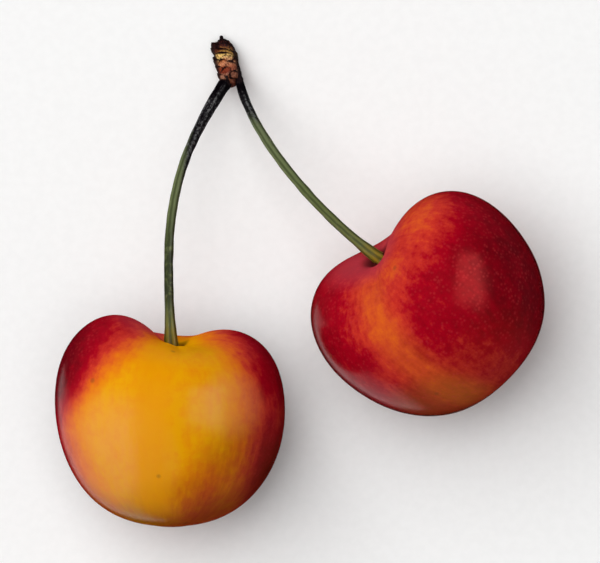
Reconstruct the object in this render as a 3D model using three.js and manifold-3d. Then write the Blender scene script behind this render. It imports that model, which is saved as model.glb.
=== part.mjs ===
// Two bicoloured sweet cherries on their stalks, which meet in one small bud knot.
// They lie on a table: both fruits rest on a small flat and the knot touches down as a third point.
//
// Millimetres, +Z up. The origin is on the table under the middle of the pair's box.
// Plan positions (x, y) are seen from above, with the knot at the far end, towards +Y.

import * as THREE from "three";
import { mergeVertices } from "three/addons/utils/BufferGeometryUtils.js";
import Module from "manifold-3d";

// Driving dimensions of each fruit.
// Its own axes are x across the seam, y towards the upper seam, z from its middle to its stalk.
// Angles named polar are in degrees from the stalk: 0 is the pit, 90 the waist, 180 the tip.
const LEFT_FRUIT = {
  centre: [-15.06, -15.84], // plan position of the middle
  stalkAzimuth: 89.4, // plan direction of the stalk axis, degrees from +X
  stalkRise: 8, // degrees that the stalk axis rises from the table
  seamRoll: -10, // degrees that the seam is turned about the stalk axis
  halfAcross: 13.2,
  halfSeam: 11.8,
  halfLength: 13.4,
  pitFloor: 8.4, // from the middle to the floor of the pit
  pitWidth: 26.3, // polar
  pitSkew: -6.2, // polar, how much wider the pit is on one side
  shoulder: 1.14, // height of the two shoulders beside the pit
  shoulderSkew: 0.47, // how much higher one shoulder is
  shoulderPolar: 49,
  shoulderPolarSkew: 0,
  shoulderWidth: 31, // polar
  shoulderSharpness: 3.9, // how tightly the shoulders keep to their sides
  cleft: 1.2, // depth of the dip in the rim where the seam runs into the pit
  cleftPolar: 32,
  cleftWidth: 20, // polar
  tipFlat: 0.6, // how far the tip is pressed in
  tipWidth: 25, // polar
};
const RIGHT_FRUIT = {
  centre: [15.41, -2.85],
  stalkAzimuth: 138,
  stalkRise: 14,
  seamRoll: 25,
  halfAcross: 13.3,
  halfSeam: 11.9,
  halfLength: 13.1,
  pitFloor: 8.7,
  pitWidth: 30.8,
  pitSkew: -4.8,
  shoulder: 1.28,
  shoulderSkew: -0.09,
  shoulderPolar: 53,
  shoulderPolarSkew: 0.5,
  shoulderWidth: 31.8,
  shoulderSharpness: 2.2,
  cleft: 1.5,
  cleftPolar: 38,
  cleftWidth: 22,
  tipFlat: 1.0,
  tipWidth: 25,
};
const FRUIT_SIDES = 40;
const FRUIT_RINGS = 34;
const RING_CROWDING = 1.25; // above 1, rings crowd towards the pit
const REST_DEPTH = 0.3; // how much of each fruit's underside is pressed flat

// Driving dimensions of each stalk. Its route starts at the floor of its fruit's pit.
// The three later points steer one cubic curve that ends at the knot.
const LEFT_STALK = {
  steerNear: [-15.75, 6.1, 14.6],
  steerFar: [-15.85, 12.2, 11.2],
  end: [-8.95, 22.95, 3.3],
  radiusAtFruit: 0.82,
  radius: 0.53,
  radiusAtKnot: 0.75,
};
const RIGHT_STALK = {
  steerNear: [4.51, 5.78, 15.2],
  steerFar: [-4.88, 15.02, 9.6],
  end: [-7.03, 23.06, 3.1],
  radiusAtFruit: 0.76,
  radius: 0.54,
  radiusAtKnot: 0.5,
};
const STALK_SIDES = 10;
const STALK_STEPS = 32;
const FLARE_LENGTH = 3.0; // how far the wide end at the fruit reaches along the stalk
const SWELL_LENGTH = 6.5; // how far the woody end at the knot reaches along the stalk
const SOCKET_DEPTH = 0.7; // how far a stalk is sunk below the floor of its pit
const CLEARANCE = 0.3; // gap between a stalk and what it is seated in

// Driving dimensions of the knot: a short spur tip wrapped in bud scales.
// Its own z runs from the fork of the stalks to the broken tip, and its own y is its upper side.
// Angles round it are in degrees: 0 is its left side seen from above, 90 its top, 180 its right.
const KNOT = {
  fork: [-8.04, 22.84, 2.75],
  azimuth: 102.2, // plan direction from the fork to the tip, degrees from +X
  rise: -21, // degrees, so it slopes down towards the tip
  start: 0.5, // where the core begins, past the fork
  tip: 5.75,
};
// Core radius at heights past the fork.
const CORE_PROFILE = [
  [0.5, 0.7],
  [1.0, 0.95],
  [2.4, 1.0],
  [3.6, 1.12],
  [4.6, 0.98],
  [5.4, 0.92],
  [5.75, 0.45],
];
const CORE_SIDES = 14;
// Whorls of broad overlapping scales, from the fork up, and last the ragged stubs round the tip.
const SCALE_WHORLS = [
  { height: 1.15, count: 3, firstAngle: 95, length: 1.7, width: 2.1, lean: 0.12 },
  { height: 2.0, count: 3, firstAngle: 40, length: 1.6, width: 2.3, lean: 0.16 },
  { height: 2.8, count: 4, firstAngle: 75, length: 1.5, width: 2.1, lean: 0.16 },
  { height: 3.6, count: 4, firstAngle: 110, length: 1.5, width: 2.1, lean: 0.14 },
  { height: 4.35, count: 4, firstAngle: 65, length: 1.4, width: 2.0, lean: 0.1 },
  { height: 5.1, count: 5, firstAngle: 20, length: 1.3, width: 1.1, lean: -0.15 },
];
const SCALE_THICKNESS = 0.7;
const SCALE_SIDES = 8;
const SCALE_RINGS = 6;
const SCALE_TAPER = 0.35; // share of its width that a scale loses towards its tip
const SCALE_SEED = 7;
const SCALE_JITTER = 0.14; // share by which a scale's size may differ from its whorl's
// A strip of bark runs on from the right stalk along the knot's right side and ends in a spike.
const BARK_STRIP = { angle: 172, low: 1.6, reach: 1.0, high: 4.6, spike: 5.95, radius: 0.42, spikeRadius: 0.2 };
const LEFT_FOOT_HEIGHT = 1.5; // where the left stalk's woody foot ends inside the core
const FOOT_STEPS = 5;
const STRIP_STEPS = 12;

const TABLE_BLOCK = 200; // edge of the block above the table that flats are cut with

const wasm = await Module();
wasm.setup();

// A closed three.js geometry as a solid that can be joined and cut.
function toSolid(geometry) {
  const bare = geometry.clone();
  bare.deleteAttribute("normal");
  bare.deleteAttribute("uv");
  const merged = mergeVertices(bare, 1e-5);
  const mesh = new wasm.Mesh({
    numProp: 3,
    vertProperties: new Float32Array(merged.attributes.position.array),
    triVerts: new Uint32Array(merged.index.array),
  });
  return new wasm.Manifold(mesh);
}

function toGeometry(solid) {
  const mesh = solid.getMesh();
  const geometry = new THREE.BufferGeometry();
  geometry.setAttribute("position", new THREE.BufferAttribute(mesh.vertProperties, 3));
  geometry.setIndex(new THREE.BufferAttribute(mesh.triVerts, 1));
  geometry.computeVertexNormals();
  return geometry;
}

// Keeps only the outer skin of joined solids, so that a hollow sealed in between them is filled.
function fillHollows(geometry) {
  const index = geometry.index.array;
  const points = geometry.attributes.position;
  const parents = Array.from({ length: points.count }, (_, i) => i);
  const rootOf = (i) => {
    while (parents[i] !== i) {
      i = parents[i];
    }
    return i;
  };
  for (let i = 0; i < index.length; i += 3) {
    parents[rootOf(index[i + 1])] = rootOf(index[i]);
    parents[rootOf(index[i + 2])] = rootOf(index[i]);
  }
  let furthest = 0;
  for (let i = 1; i < points.count; i += 1) {
    if (points.getZ(i) > points.getZ(furthest)) {
      furthest = i;
    }
  }
  const outer = rootOf(furthest);
  const kept = [];
  for (let i = 0; i < index.length; i += 3) {
    if (rootOf(index[i]) === outer) {
      kept.push(index[i], index[i + 1], index[i + 2]);
    }
  }
  geometry.setIndex(kept);
  return mergeVertices(geometry, 1e-6);
}

// The table's upper side: everything above z = 0, seen from inside a turned mesh.
function aboveTable(mesh) {
  const block = new THREE.BoxGeometry(TABLE_BLOCK, TABLE_BLOCK, TABLE_BLOCK);
  block.translate(0, 0, TABLE_BLOCK / 2);
  return toSolid(intoFrame(block, mesh));
}

// A geometry given in the table's frame, moved into a mesh's own frame.
function intoFrame(geometry, mesh) {
  mesh.updateMatrix();
  return geometry.clone().applyMatrix4(mesh.matrix.clone().invert());
}

function bump(angle, middle, width) {
  return Math.exp(-(((angle - middle) / width) ** 2));
}

// Distance from the middle of a fruit to its skin.
// around is 0 on the upper seam and 90 degrees on the first shoulder.
function skinRadius(fruit, polar, around) {
  const across = Math.sin(polar) * Math.sin(around);
  const seamward = Math.sin(polar) * Math.cos(around);
  const stalkward = Math.cos(polar);
  const oval = 1 / Math.hypot(across / fruit.halfAcross, seamward / fruit.halfSeam, stalkward / fruit.halfLength);
  const degrees = THREE.MathUtils.radToDeg(polar);
  const side = Math.sin(around);
  const shoulderShare = Math.abs(side) ** fruit.shoulderSharpness;
  const shoulderPolar = fruit.shoulderPolar + fruit.shoulderPolarSkew * side;
  const shoulderHeight = fruit.shoulder + fruit.shoulderSkew * side;
  const shoulder = shoulderHeight * shoulderShare * bump(degrees, shoulderPolar, fruit.shoulderWidth);
  const cleft = fruit.cleft * (1 - shoulderShare) * bump(degrees, fruit.cleftPolar, fruit.cleftWidth);
  const pitDepth = fruit.halfLength - fruit.pitFloor;
  const pit = pitDepth * bump(degrees, 0, fruit.pitWidth + fruit.pitSkew * side);
  const tip = fruit.tipFlat * bump(degrees, 180, fruit.tipWidth);
  return oval + shoulder - cleft - pit - tip;
}

// A fruit's skin in its own frame, with the stalk along +z.
function skinGeometry(fruit) {
  const geometry = new THREE.SphereGeometry(1, FRUIT_SIDES, FRUIT_RINGS);
  geometry.rotateX(Math.PI / 2);
  const points = geometry.attributes.position;
  const point = new THREE.Vector3();
  for (let i = 0; i < points.count; i += 1) {
    point.fromBufferAttribute(points, i);
    const evenPolar = Math.acos(THREE.MathUtils.clamp(point.z, -1, 1));
    const polar = Math.PI * (evenPolar / Math.PI) ** RING_CROWDING;
    const around = Math.atan2(point.x, point.y);
    const radius = skinRadius(fruit, polar, around);
    const reach = radius * Math.sin(polar);
    points.setXYZ(i, reach * Math.sin(around), reach * Math.cos(around), radius * Math.cos(polar));
  }
  return geometry;
}

// The turn that points a piece's own z along a direction and its own y as far up as it can,
// then rolls it about that direction. Angles are in degrees.
function turnAlong(azimuthDegrees, riseDegrees, rollDegrees) {
  const azimuth = THREE.MathUtils.degToRad(azimuthDegrees);
  const rise = THREE.MathUtils.degToRad(riseDegrees);
  const axis = new THREE.Vector3(
    Math.cos(rise) * Math.cos(azimuth),
    Math.cos(rise) * Math.sin(azimuth),
    Math.sin(rise),
  );
  const upper = new THREE.Vector3(0, 0, 1).addScaledVector(axis, -axis.z).normalize();
  upper.applyAxisAngle(axis, -THREE.MathUtils.degToRad(rollDegrees));
  const across = upper.clone().cross(axis);
  const basis = new THREE.Matrix4().makeBasis(across, upper, axis);
  return new THREE.Quaternion().setFromRotationMatrix(basis);
}

// A fruit set down so that REST_DEPTH of its underside is below the table, still uncut.
function placeFruit(name, fruit, colour) {
  const mesh = new THREE.Mesh(skinGeometry(fruit), skinMaterial(colour));
  mesh.name = name;
  mesh.quaternion.copy(turnAlong(fruit.stalkAzimuth, fruit.stalkRise, fruit.seamRoll));
  const turned = mesh.geometry.clone().applyQuaternion(mesh.quaternion);
  turned.computeBoundingBox();
  mesh.position.set(fruit.centre[0], fruit.centre[1], -turned.boundingBox.min.z - REST_DEPTH);
  mesh.updateMatrix();
  return mesh;
}

// Presses the flat into a placed fruit's underside and sinks the stalk's socket into its pit.
function finishFruit(mesh, seat) {
  const skin = toSolid(mesh.geometry);
  const socket = toSolid(intoFrame(seat, mesh));
  mesh.geometry = toGeometry(skin.intersect(aboveTable(mesh)).subtract(socket));
}

// The stalk's middle line, from just below the floor of the pit to the knot.
function stalkRoute(stalk, fruitMesh, fruit) {
  const axis = new THREE.Vector3(0, 0, 1).applyQuaternion(fruitMesh.quaternion);
  const start = fruitMesh.position.clone().addScaledVector(axis, fruit.pitFloor - SOCKET_DEPTH);
  return new THREE.CubicBezierCurve3(
    start,
    new THREE.Vector3(...stalk.steerNear),
    new THREE.Vector3(...stalk.steerFar),
    new THREE.Vector3(...stalk.end),
  );
}

// Stalk radius at a distance from the fruit end, with a flare there and a swelling at the knot.
function stalkRadius(stalk, distance, length) {
  const flare = (stalk.radiusAtFruit - stalk.radius) * Math.exp(-((distance / FLARE_LENGTH) ** 2));
  const fromKnot = length - distance;
  const swell = (stalk.radiusAtKnot - stalk.radius) * Math.exp(-((fromKnot / SWELL_LENGTH) ** 2));
  return stalk.radius + flare + swell;
}

// A round bar along a curve, closed at both ends, with its radius given by the share run so far.
function roundBar(curve, radiusAt, sides, steps) {
  const frames = curve.computeFrenetFrames(steps, false);
  const positions = [];
  const index = [];
  for (let step = 0; step <= steps; step += 1) {
    const middle = curve.getPointAt(step / steps);
    for (let side = 0; side < sides; side += 1) {
      const turn = (2 * Math.PI * side) / sides;
      const rim = middle.clone();
      rim.addScaledVector(frames.normals[step], radiusAt(step / steps) * Math.cos(turn));
      rim.addScaledVector(frames.binormals[step], radiusAt(step / steps) * Math.sin(turn));
      positions.push(...rim.toArray());
    }
  }
  for (let step = 0; step < steps; step += 1) {
    for (let side = 0; side < sides; side += 1) {
      const here = step * sides + side;
      const next = step * sides + ((side + 1) % sides);
      index.push(here, next, next + sides, here, next + sides, here + sides);
    }
  }
  const firstCap = positions.length / 3;
  positions.push(...curve.getPointAt(0).toArray(), ...curve.getPointAt(1).toArray());
  for (let side = 0; side < sides; side += 1) {
    const next = (side + 1) % sides;
    const last = steps * sides;
    index.push(firstCap, next, side);
    index.push(firstCap + 1, last + side, last + next);
  }
  const geometry = new THREE.BufferGeometry();
  geometry.setAttribute("position", new THREE.Float32BufferAttribute(positions, 3));
  geometry.setIndex(index);
  geometry.computeVertexNormals();
  return geometry;
}

// The room that a stalk needs in the fruit and in the knot: the stalk itself, CLEARANCE wider
// all round and CLEARANCE longer at both ends.
function stalkSeat(stalk, route) {
  const length = route.getLength();
  const before = route.getPointAt(0).addScaledVector(route.getTangentAt(0), -CLEARANCE);
  const after = route.getPointAt(1).addScaledVector(route.getTangentAt(1), CLEARANCE);
  const longer = new THREE.CurvePath();
  longer.add(new THREE.LineCurve3(before, route.getPointAt(0)));
  longer.add(route);
  longer.add(new THREE.LineCurve3(route.getPointAt(1), after));
  const whole = longer.getLength();
  const radiusAt = (share) => stalkRadius(stalk, share * whole - CLEARANCE, length) + CLEARANCE;
  return roundBar(longer, radiusAt, STALK_SIDES, STALK_STEPS * 2);
}

// A stalk with its geometry measured from its fruit end, where the mesh is placed.
function makeStalk(name, stalk, route, colour) {
  const length = route.getLength();
  const radiusAt = (share) => stalkRadius(stalk, share * length, length);
  const start = route.getPointAt(0);
  const geometry = roundBar(route, radiusAt, STALK_SIDES, STALK_STEPS);
  geometry.translate(-start.x, -start.y, -start.z);
  const mesh = new THREE.Mesh(geometry, stalkMaterial(colour));
  mesh.name = name;
  mesh.position.copy(start);
  return mesh;
}

// Core of the knot: a lathe profile turned to stand on its own z.
function coreGeometry() {
  const profile = CORE_PROFILE.map(([height, radius]) => new THREE.Vector2(radius, height));
  profile.unshift(new THREE.Vector2(0, KNOT.start));
  profile.push(new THREE.Vector2(0, KNOT.tip));
  return new THREE.LatheGeometry(profile, CORE_SIDES).rotateX(Math.PI / 2);
}

function coreRadius(height) {
  const above = CORE_PROFILE.findIndex(([level]) => level >= height);
  const [lowHeight, lowRadius] = CORE_PROFILE[above - 1];
  const [highHeight, highRadius] = CORE_PROFILE[above];
  return THREE.MathUtils.mapLinear(height, lowHeight, highHeight, lowRadius, highRadius);
}

// A point of the knot's own frame, by its angle round the knot, its reach and its height.
function knotPoint(angleDegrees, reach, height) {
  const angle = THREE.MathUtils.degToRad(angleDegrees);
  return new THREE.Vector3(reach * Math.cos(angle), reach * Math.sin(angle), height);
}

// One bud scale: a flat pointed blade wrapped round the core, with its tip leaning out.
function scaleGeometry(height, angle, length, width, lean) {
  const geometry = new THREE.SphereGeometry(1, SCALE_SIDES, SCALE_RINGS);
  geometry.rotateX(Math.PI / 2);
  const radius = coreRadius(height);
  const points = geometry.attributes.position;
  for (let i = 0; i < points.count; i += 1) {
    const towardsTip = (points.getZ(i) + 1) / 2;
    const halfWidth = (width * (1 - SCALE_TAPER * towardsTip)) / 2;
    const turn = angle - THREE.MathUtils.radToDeg((points.getX(i) * halfWidth) / radius);
    const reach = radius + (points.getY(i) * SCALE_THICKNESS) / 2 + lean * towardsTip ** 2;
    points.setXYZ(i, ...knotPoint(turn, reach, height + (points.getZ(i) * length) / 2).toArray());
  }
  return geometry;
}

// Small repeatable random numbers between 0 and 1.
function seededRandom(seed) {
  let state = seed;
  return () => {
    state = (state * 16807) % 2147483647;
    return state / 2147483647;
  };
}

function knotScales() {
  const random = seededRandom(SCALE_SEED);
  const jitter = () => 1 + SCALE_JITTER * (2 * random() - 1);
  const scales = [];
  for (const whorl of SCALE_WHORLS) {
    for (let i = 0; i < whorl.count; i += 1) {
      const angle = whorl.firstAngle + (360 * i) / whorl.count;
      const length = whorl.length * jitter();
      const width = whorl.width * jitter();
      scales.push(scaleGeometry(whorl.height, angle, length, width, whorl.lean));
    }
  }
  return scales;
}

// The woody foot that carries the left stalk on into the core, CLEARANCE past the stalk's end.
function leftFoot(route, knotMesh) {
  const along = route.getTangentAt(1);
  const start = route.getPointAt(1).addScaledVector(along, CLEARANCE);
  const bend = start.clone().add(along);
  const inside = knotPoint(0, 0, LEFT_FOOT_HEIGHT).applyMatrix4(knotMesh.matrix);
  const path = new THREE.QuadraticBezierCurve3(start, bend, inside);
  return roundBar(path, () => LEFT_STALK.radiusAtKnot, STALK_SIDES, FOOT_STEPS);
}

// The strip of bark that carries the right stalk on along the knot's side.
function barkStrip(route, knotMesh) {
  const strip = BARK_STRIP;
  const start = route.getPointAt(1).addScaledVector(route.getTangentAt(1), CLEARANCE);
  const onSide = [
    knotPoint(strip.angle, strip.reach, strip.low),
    knotPoint(strip.angle, strip.reach, strip.high),
    knotPoint(strip.angle, strip.reach * 0.55, strip.spike),
  ];
  const placed = onSide.map((point) => point.applyMatrix4(knotMesh.matrix));
  const path = new THREE.CatmullRomCurve3([start, ...placed]);
  const radiusAt = (share) => {
    const thin = THREE.MathUtils.lerp(strip.radius, strip.spikeRadius, share ** 4);
    return thin + (RIGHT_STALK.radiusAtKnot - strip.radius) * (1 - share) ** 4;
  };
  return roundBar(path, radiusAt, STALK_SIDES, STRIP_STEPS);
}

function makeKnot(name, leftRoute, rightRoute, seats, colour) {
  const mesh = new THREE.Mesh(undefined, barkMaterial(colour));
  mesh.name = name;
  mesh.quaternion.copy(turnAlong(KNOT.azimuth, KNOT.rise, 0));
  mesh.position.set(...KNOT.fork);
  mesh.updateMatrix();
  let solid = toSolid(coreGeometry());
  for (const scale of knotScales()) {
    solid = solid.add(toSolid(scale));
  }
  for (const foot of [leftFoot(leftRoute, mesh), barkStrip(rightRoute, mesh)]) {
    solid = solid.add(toSolid(intoFrame(foot, mesh)));
  }
  for (const seat of seats) {
    solid = solid.subtract(toSolid(intoFrame(seat, mesh)));
  }
  mesh.geometry = fillHollows(toGeometry(solid.intersect(aboveTable(mesh))));
  return mesh;
}

function skinMaterial(colour) {
  return new THREE.MeshStandardMaterial({ color: colour, roughness: 0.22, metalness: 0 });
}

function stalkMaterial(colour) {
  return new THREE.MeshStandardMaterial({ color: colour, roughness: 0.5, metalness: 0 });
}

function barkMaterial(colour) {
  return new THREE.MeshStandardMaterial({ color: colour, roughness: 0.75, metalness: 0 });
}

const leftFruit = placeFruit("cherry_left", LEFT_FRUIT, 0xd8801c);
const rightFruit = placeFruit("cherry_right", RIGHT_FRUIT, 0xb3121c);
const leftRoute = stalkRoute(LEFT_STALK, leftFruit, LEFT_FRUIT);
const rightRoute = stalkRoute(RIGHT_STALK, rightFruit, RIGHT_FRUIT);
const leftSeat = stalkSeat(LEFT_STALK, leftRoute);
const rightSeat = stalkSeat(RIGHT_STALK, rightRoute);
finishFruit(leftFruit, leftSeat);
finishFruit(rightFruit, rightSeat);

const group = new THREE.Group();
group.add(leftFruit, rightFruit);
group.add(makeStalk("stalk_left", LEFT_STALK, leftRoute, 0x6d6a2c));
group.add(makeStalk("stalk_right", RIGHT_STALK, rightRoute, 0x66692e));
group.add(makeKnot("bud_knot", leftRoute, rightRoute, [leftSeat, rightSeat], 0x6b4636));

export default group;
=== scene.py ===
"""Two bicoloured sweet cherries on their stalks, which meet in one small bud knot.

They lie on a pale table and the camera looks straight down on them, with the knot at the far end.
Shapes are worked out in millimetres, as the solids are, and become metres when a mesh is made.
"""

import math
import random

import bpy
import numpy as np
from mathutils import Matrix, Vector


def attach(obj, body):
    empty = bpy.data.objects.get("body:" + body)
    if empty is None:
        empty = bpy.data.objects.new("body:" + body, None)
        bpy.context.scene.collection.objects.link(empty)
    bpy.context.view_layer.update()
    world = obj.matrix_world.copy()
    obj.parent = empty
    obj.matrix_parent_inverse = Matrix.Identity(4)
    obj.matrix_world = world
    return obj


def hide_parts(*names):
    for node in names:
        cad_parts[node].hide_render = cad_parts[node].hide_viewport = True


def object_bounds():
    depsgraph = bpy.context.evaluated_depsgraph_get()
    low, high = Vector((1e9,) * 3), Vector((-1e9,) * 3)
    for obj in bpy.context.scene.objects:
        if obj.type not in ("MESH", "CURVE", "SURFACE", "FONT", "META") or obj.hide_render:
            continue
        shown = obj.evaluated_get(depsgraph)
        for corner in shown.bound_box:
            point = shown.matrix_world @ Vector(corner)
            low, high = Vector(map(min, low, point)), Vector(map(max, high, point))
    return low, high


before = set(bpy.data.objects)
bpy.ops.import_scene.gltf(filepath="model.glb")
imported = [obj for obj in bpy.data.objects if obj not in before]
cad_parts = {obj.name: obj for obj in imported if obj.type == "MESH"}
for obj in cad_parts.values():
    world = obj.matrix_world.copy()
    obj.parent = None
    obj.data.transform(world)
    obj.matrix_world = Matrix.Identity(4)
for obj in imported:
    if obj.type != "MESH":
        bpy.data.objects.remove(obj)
cad_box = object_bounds()

MM = 0.001

# Driving dimensions of each fruit, as in the solids. Angles named polar are in degrees from the
# stalk: 0 is the pit, 90 the waist, 180 the tip. Angles named around are 0 on the upper seam.
LEFT_FRUIT = dict(
    centre=(-15.06, -15.84), stalk_azimuth=89.4, stalk_rise=8, seam_roll=-10,
    half_across=13.2, half_seam=11.8, half_length=13.4,
    pit_floor=8.4, pit_width=26.3, pit_skew=-6.2,
    shoulder=1.14, shoulder_skew=0.47, shoulder_polar=49, shoulder_polar_skew=0,
    shoulder_width=31, shoulder_sharpness=3.9,
    cleft=1.2, cleft_polar=32, cleft_width=20,
    tip_flat=0.6, tip_width=25,
    seam_line=21,
)
RIGHT_FRUIT = dict(
    centre=(15.41, -2.85), stalk_azimuth=138, stalk_rise=14, seam_roll=25,
    half_across=13.3, half_seam=11.9, half_length=13.1,
    pit_floor=8.7, pit_width=30.8, pit_skew=-4.8,
    shoulder=1.28, shoulder_skew=-0.09, shoulder_polar=53, shoulder_polar_skew=0.5,
    shoulder_width=31.8, shoulder_sharpness=2.2,
    cleft=1.5, cleft_polar=38, cleft_width=22,
    tip_flat=1.0, tip_width=25,
    seam_line=8,
)
FRUIT_SIDES = 288
FRUIT_RINGS = 170
RING_CROWDING = 1.25
# The coarser skin that a fruit is set down by, from this small angle to the tip
PLACE_SIDES = 160
PLACE_RINGS = 120
PLACE_START = 0.01
REST_DEPTH = 0.3
REST_ROUNDING = 0.06
# How far the pattern of the streaks runs round a fruit, and how little along it
STREAK_ROUND = 9
STREAK_ALONG = 0.2

# Relief too fine for the solids. Depths are in millimetres; polar angles, widths and reaches are in
# degrees, and a form has sunk to about a third of its depth at its width or reach.
SEAM_DEPTH = 0.06
SEAM_WIDTH = 5
SEAM_POLAR = 80
SEAM_REACH = 50
MOAT_DEPTH = 0.55
MOAT_POLAR = 7.5
MOAT_WIDTH = 3.2
RIM_DIP_DEPTH = 0.3
RIM_DIP_WIDTH = 8
RIM_DIP_POLAR = 29
RIM_DIP_REACH = 11
TIP_SCAR_DEPTH = 0.22
TIP_SCAR_WIDTH = 3.2
# The lip round the scar: its height as a share of the scar's depth, and how many widths out it is
TIP_LIP_SHARE = 0.35
TIP_LIP_OUT = 2.2
# Soft waves over the whole skin. WAVE_SPREAD is about what so many waves add up to, against one.
WAVE_COUNT = 14
WAVE_RATES = (3.0, 7.0)
WAVE_HEIGHT = 0.035
WAVE_SPREAD = 3.7

# Driving dimensions of each stalk, as in the solids.
LEFT_STALK = dict(
    steer_near=(-15.75, 6.1, 14.6), steer_far=(-15.85, 12.2, 11.2), end=(-8.95, 22.95, 3.3),
    radius_at_fruit=0.82, radius=0.53, radius_at_knot=0.75,
)
RIGHT_STALK = dict(
    steer_near=(4.51, 5.78, 15.2), steer_far=(-4.88, 15.02, 9.6), end=(-7.03, 23.06, 3.1),
    radius_at_fruit=0.76, radius=0.54, radius_at_knot=0.5,
)
FLARE_LENGTH = 3.0
SWELL_LENGTH = 6.5
SOCKET_DEPTH = 0.7
FOOT_OVERLAP = 0.15
STALK_SIDES = 40
STALK_STEPS = 420
CURVE_STEPS = 2000

# Fine ridges and waves of the stalks. Depths are shares of the radius.
RIDGE_COUNT = 5
RIDGE_DEPTH = 0.045
RIDGE_TWIST = 0.06
# How much stronger the ridges grow at the fruit, and how far up the stalk that reaches
ROOT_RIDGES = 1.3
ROOT_LENGTH = 4.5
STALK_WAVES = 16
STALK_WAVE_ROUNDS = 4
STALK_WAVE_RATES = (0.5, 3.0)
STALK_WAVE_DEPTH = 0.008
# The first side of a bar is square to its heading and to this direction
SQUARE_TO = (0.3, 0.2, 1.0)

# Driving dimensions of the knot, as in the solids. Heights are past the fork of the stalks, and the
# core's profile is pairs of a height and a radius.
KNOT = dict(fork=(-8.04, 22.84, 2.75), azimuth=102.2, rise=-21, start=0.5, tip=5.75)
CORE_PROFILE = (
    (0.5, 0.7), (1.0, 0.95), (2.4, 1.0), (3.6, 1.12), (4.6, 0.98), (5.4, 0.92), (5.75, 0.45),
)
# How far the knot's tip leans to the left, and the height from which it does
TIP_LEAN = 0.3
LEAN_START = 3.6
# Random phases of the knot's ripples, about a full turn
PHASES = 6.3
# The core's own roughness, and the jags that it is broken off in. sunk is how far it starts back in
# the fork, and dish how deep its broken end is.
CORE = dict(
    rows=60, sides=64, sunk=0.35, dish=0.35,
    seed=3, waves=24, wave_rates=(2, 9), wave_rounds=(1, 8), wave_depth=0.02,
    broken_from=5.2, broken_over=0.55, jags=3, jag_turn=1.0, jag_height=0.16,
)
# The solids' scales, in finer rows: height of the middle, count, first angle, length, width, lean of
# the tip and slant
SCALE_ROWS = (
    (1.05, 4, 40, 1.0, 1.5, 0.10, 0.1),
    (1.55, 4, 80, 1.0, 1.5, 0.14, -0.3),
    (2.1, 4, 122, 1.2, 1.7, 0.18, 0.35),
    (2.6, 4, 62, 1.2, 1.7, 0.18, -0.35),
    (3.1, 4, 105, 1.0, 1.9, 0.16, 0.3),
    (3.5, 3, 78, 0.8, 2.4, 0.14, 0.35),
    (3.85, 3, 100, 0.8, 2.4, 0.12, 0.4),
    (4.25, 3, 60, 0.9, 2.2, 0.10, 0.3),
    (4.7, 4, 95, 1.0, 1.7, 0.08, 0.1),
    (5.15, 5, 25, 1.1, 1.1, -0.12, 0.0),
)
SCALE_SEED = 7
# How far a scale strays from its row: in size as a share, in degrees and in slant
SIZE_STRAY = 0.12
ANGLE_STRAY = 8
SLANT_STRAY = 0.1
# One scale. A ripple is a depth and a rate. cupped is how far its two side edges turn in, and the
# last two are how far its faces start under the core's surface.
BLADE = dict(
    rows=15, sides=17, root_width=0.84, belly=0.22,
    coarse_rim=(0.06, 9), fine_rim=(0.05, 23), tip_ripple=(0.08, 5), ridges=(0.06, 7), fine_ridges=0.05,
    thickness=0.2, bow=0.22, cupped=0.1, outer_sunk=0.04, inner_sunk=0.14,
)
# The strip of bark, the foot and the thorn. A ripple is a depth as a share of the radius, how often
# it goes round and its rate along. path is corners: angle, distance from the middle line and height.
BARK_STRIP = dict(
    path=((172, 1.0, 1.6), (172, 1.0, 4.6), (172, 0.55, 5.95)),
    radius=0.42, spike_radius=0.2, sharpness=4, steps=90, sides=24,
    ripples=((0.07, 3, 9), (0.06, 2, -31), (0.05, 5, 57)),
)
FOOT = dict(
    angle=270, reach=0.3, height=0.75, taper=0.95, sharpness=1.4, steps=40, sides=28,
    ripples=((0.05, 4, 11),),
)
THORN = dict(
    path=((100, 0.5, 4.3), (112, 0.65, 5.2), (132, 0.5, 6.3)),
    radius=0.42, taper=0.5, steps=40, sides=20,
    ripples=((0.1, 3, 8), (0.07, 0, 19)),
)

# The picture and the table
FRAME_WIDTH_MM = 70.0
FLOOR_HALF_MM = 30000.0
LENS_MM = 800
SENSOR_MM = 36
FOCUS_HEIGHT_MM = 12.0
FAR_CLIP = 100


def bump(angle, middle, width):
    """A smooth hump, 1 at its middle and about a third at its width."""
    return np.exp(-(((angle - middle) / width) ** 2))


def turn_along(azimuth, rise, roll):
    """The axes of a piece whose z points along a direction and whose y is up, then rolled. Columns
    are across, upper and along, as in the solids."""
    azimuth, rise, roll = np.radians((azimuth, rise, roll))
    along = np.array(
        (math.cos(rise) * math.cos(azimuth), math.cos(rise) * math.sin(azimuth), math.sin(rise))
    )
    upper = np.array((0.0, 0.0, 1.0)) - along * along[2]
    upper /= np.linalg.norm(upper)
    sideways = np.cross(upper, along)
    upper = upper * math.cos(roll) + sideways * math.sin(roll)
    return np.column_stack((np.cross(upper, along), upper, along))


def make_object(name, points_mm, faces, material, vectors=None, values=None):
    """A smooth mesh object from points in millimetres, with its own attributes for its material."""
    mesh = bpy.data.meshes.new(name)
    mesh.from_pydata((np.asarray(points_mm) * MM).tolist(), [], faces)
    for kind, key, layers in (("FLOAT_VECTOR", "vector", vectors), ("FLOAT", "value", values)):
        for label, data in (layers or {}).items():
            layer = mesh.attributes.new(label, kind, "POINT")
            layer.data.foreach_set(key, np.asarray(data, dtype=np.float32).ravel())
    mesh.shade_smooth()
    mesh.materials.append(material)
    mesh.validate()
    piece = bpy.data.objects.new(name, mesh)
    bpy.context.collection.objects.link(piece)
    return piece


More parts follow.
